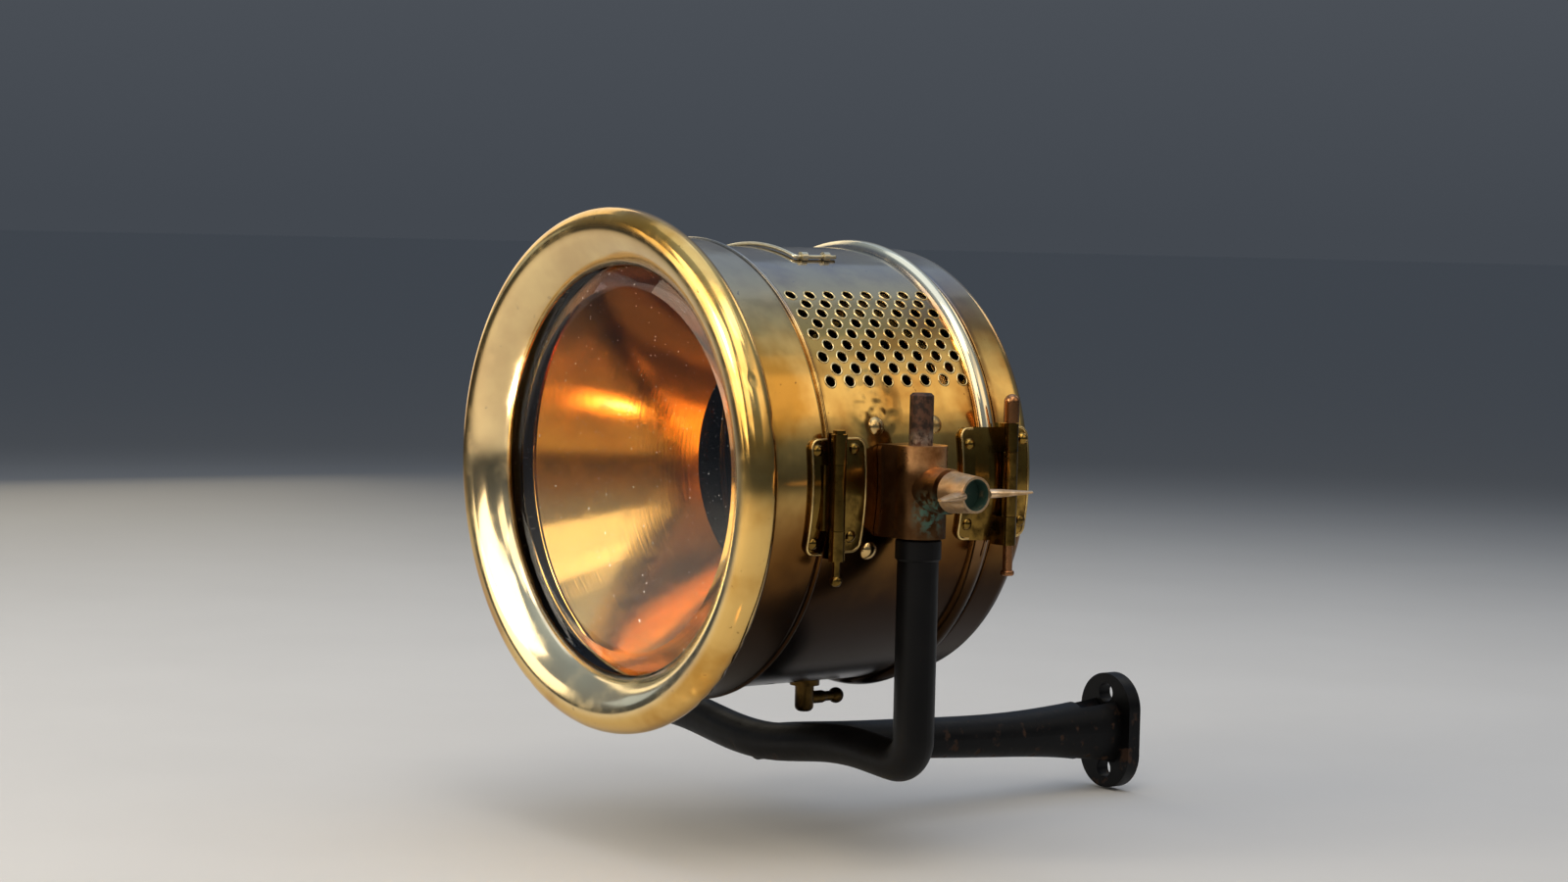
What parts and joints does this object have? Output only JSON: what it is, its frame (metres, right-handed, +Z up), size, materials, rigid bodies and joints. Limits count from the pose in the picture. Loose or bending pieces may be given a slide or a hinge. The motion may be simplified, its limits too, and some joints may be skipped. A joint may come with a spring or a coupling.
{
  "type": "acetylene headlamp",
  "caption": "Round brass acetylene headlamp with a hinged bevelled-glass front, perforated drum, hinged rear door and reflector cone, carried in a black forked bracket.",
  "frame": {"origin": "centre of the bracket flange's rear face, where the arm bolts to the vehicle", "axes": "+Y out of the flange's rear face into the vehicle, lamp facing -Y, +Z up, both hinges on the +X side"},
  "size_m": [0.337, 0.342, 0.3061],
  "materials": {
    "bezel_brass": "polished",
    "drum_brass": "polished",
    "cover_brass": "polished",
    "hinge_brass": "polished, worn",
    "pin_brass": "dull",
    "lug_bronze": "aged",
    "screw_bronze": "dull, verdigris at the end",
    "post_steel": "dark, lightly rusted",
    "fork_paint": "satin black",
    "reflector_brass": "polished, coppery",
    "glass_clear": "clear, bevelled",
    "mirror_silver": "silvered",
    "trim_brass": "satin",
    "gas_brass": "aged",
    "burner_brass": "satin"
  },
  "bodies": {
    "lamp": {"drum_shell": "drum_brass", "top_bail": "trim_brass", "front_bail_eye": "trim_brass", "rear_bail_eye": "trim_brass", "front_catch_stud": "trim_brass", "rear_catch_stud": "trim_brass", "reflector_cone": "reflector_brass", "front_hinge_drum_leaf": "hinge_brass", "front_hinge_pin": "hinge_brass", "rear_hinge_drum_leaf": "hinge_brass", "rear_hinge_pin": "pin_brass", "near_lug": "lug_bronze", "near_wing_screw": "screw_bronze", "near_post_pin": "post_steel", "far_lug": "lug_bronze", "far_wing_screw": "screw_bronze", "far_post_pin": "post_steel", "fork": "fork_paint", "bracket_arm": "fork_paint", "gas_inlet": "gas_brass", "burner": "burner_brass"},
    "front_door": {"bezel_ring": "bezel_brass", "front_glass": "glass_clear", "glass_retainer": "trim_brass", "front_hinge_door_leaf": "hinge_brass", "front_catch": "trim_brass"},
    "rear_door": {"rear_cover": "cover_brass", "rear_hinge_cover_leaf": "hinge_brass", "rear_catch": "trim_brass", "mirror_glass": "mirror_silver", "mirror_holder": "trim_brass"}
  },
  "joints": [
    {"name": "front_door_hinge", "type": "hinge", "parent": "lamp", "child": "front_door", "pos_m": [0.1156, -0.2868, 0.145], "axis": [0, 0, 1], "range_deg": [0, 90]},
    {"name": "rear_door_hinge", "type": "hinge", "parent": "lamp", "child": "rear_door", "pos_m": [0.11605, -0.1834, 0.148], "axis": [0, 0, -1], "range_deg": [0, 110]}
  ]
}
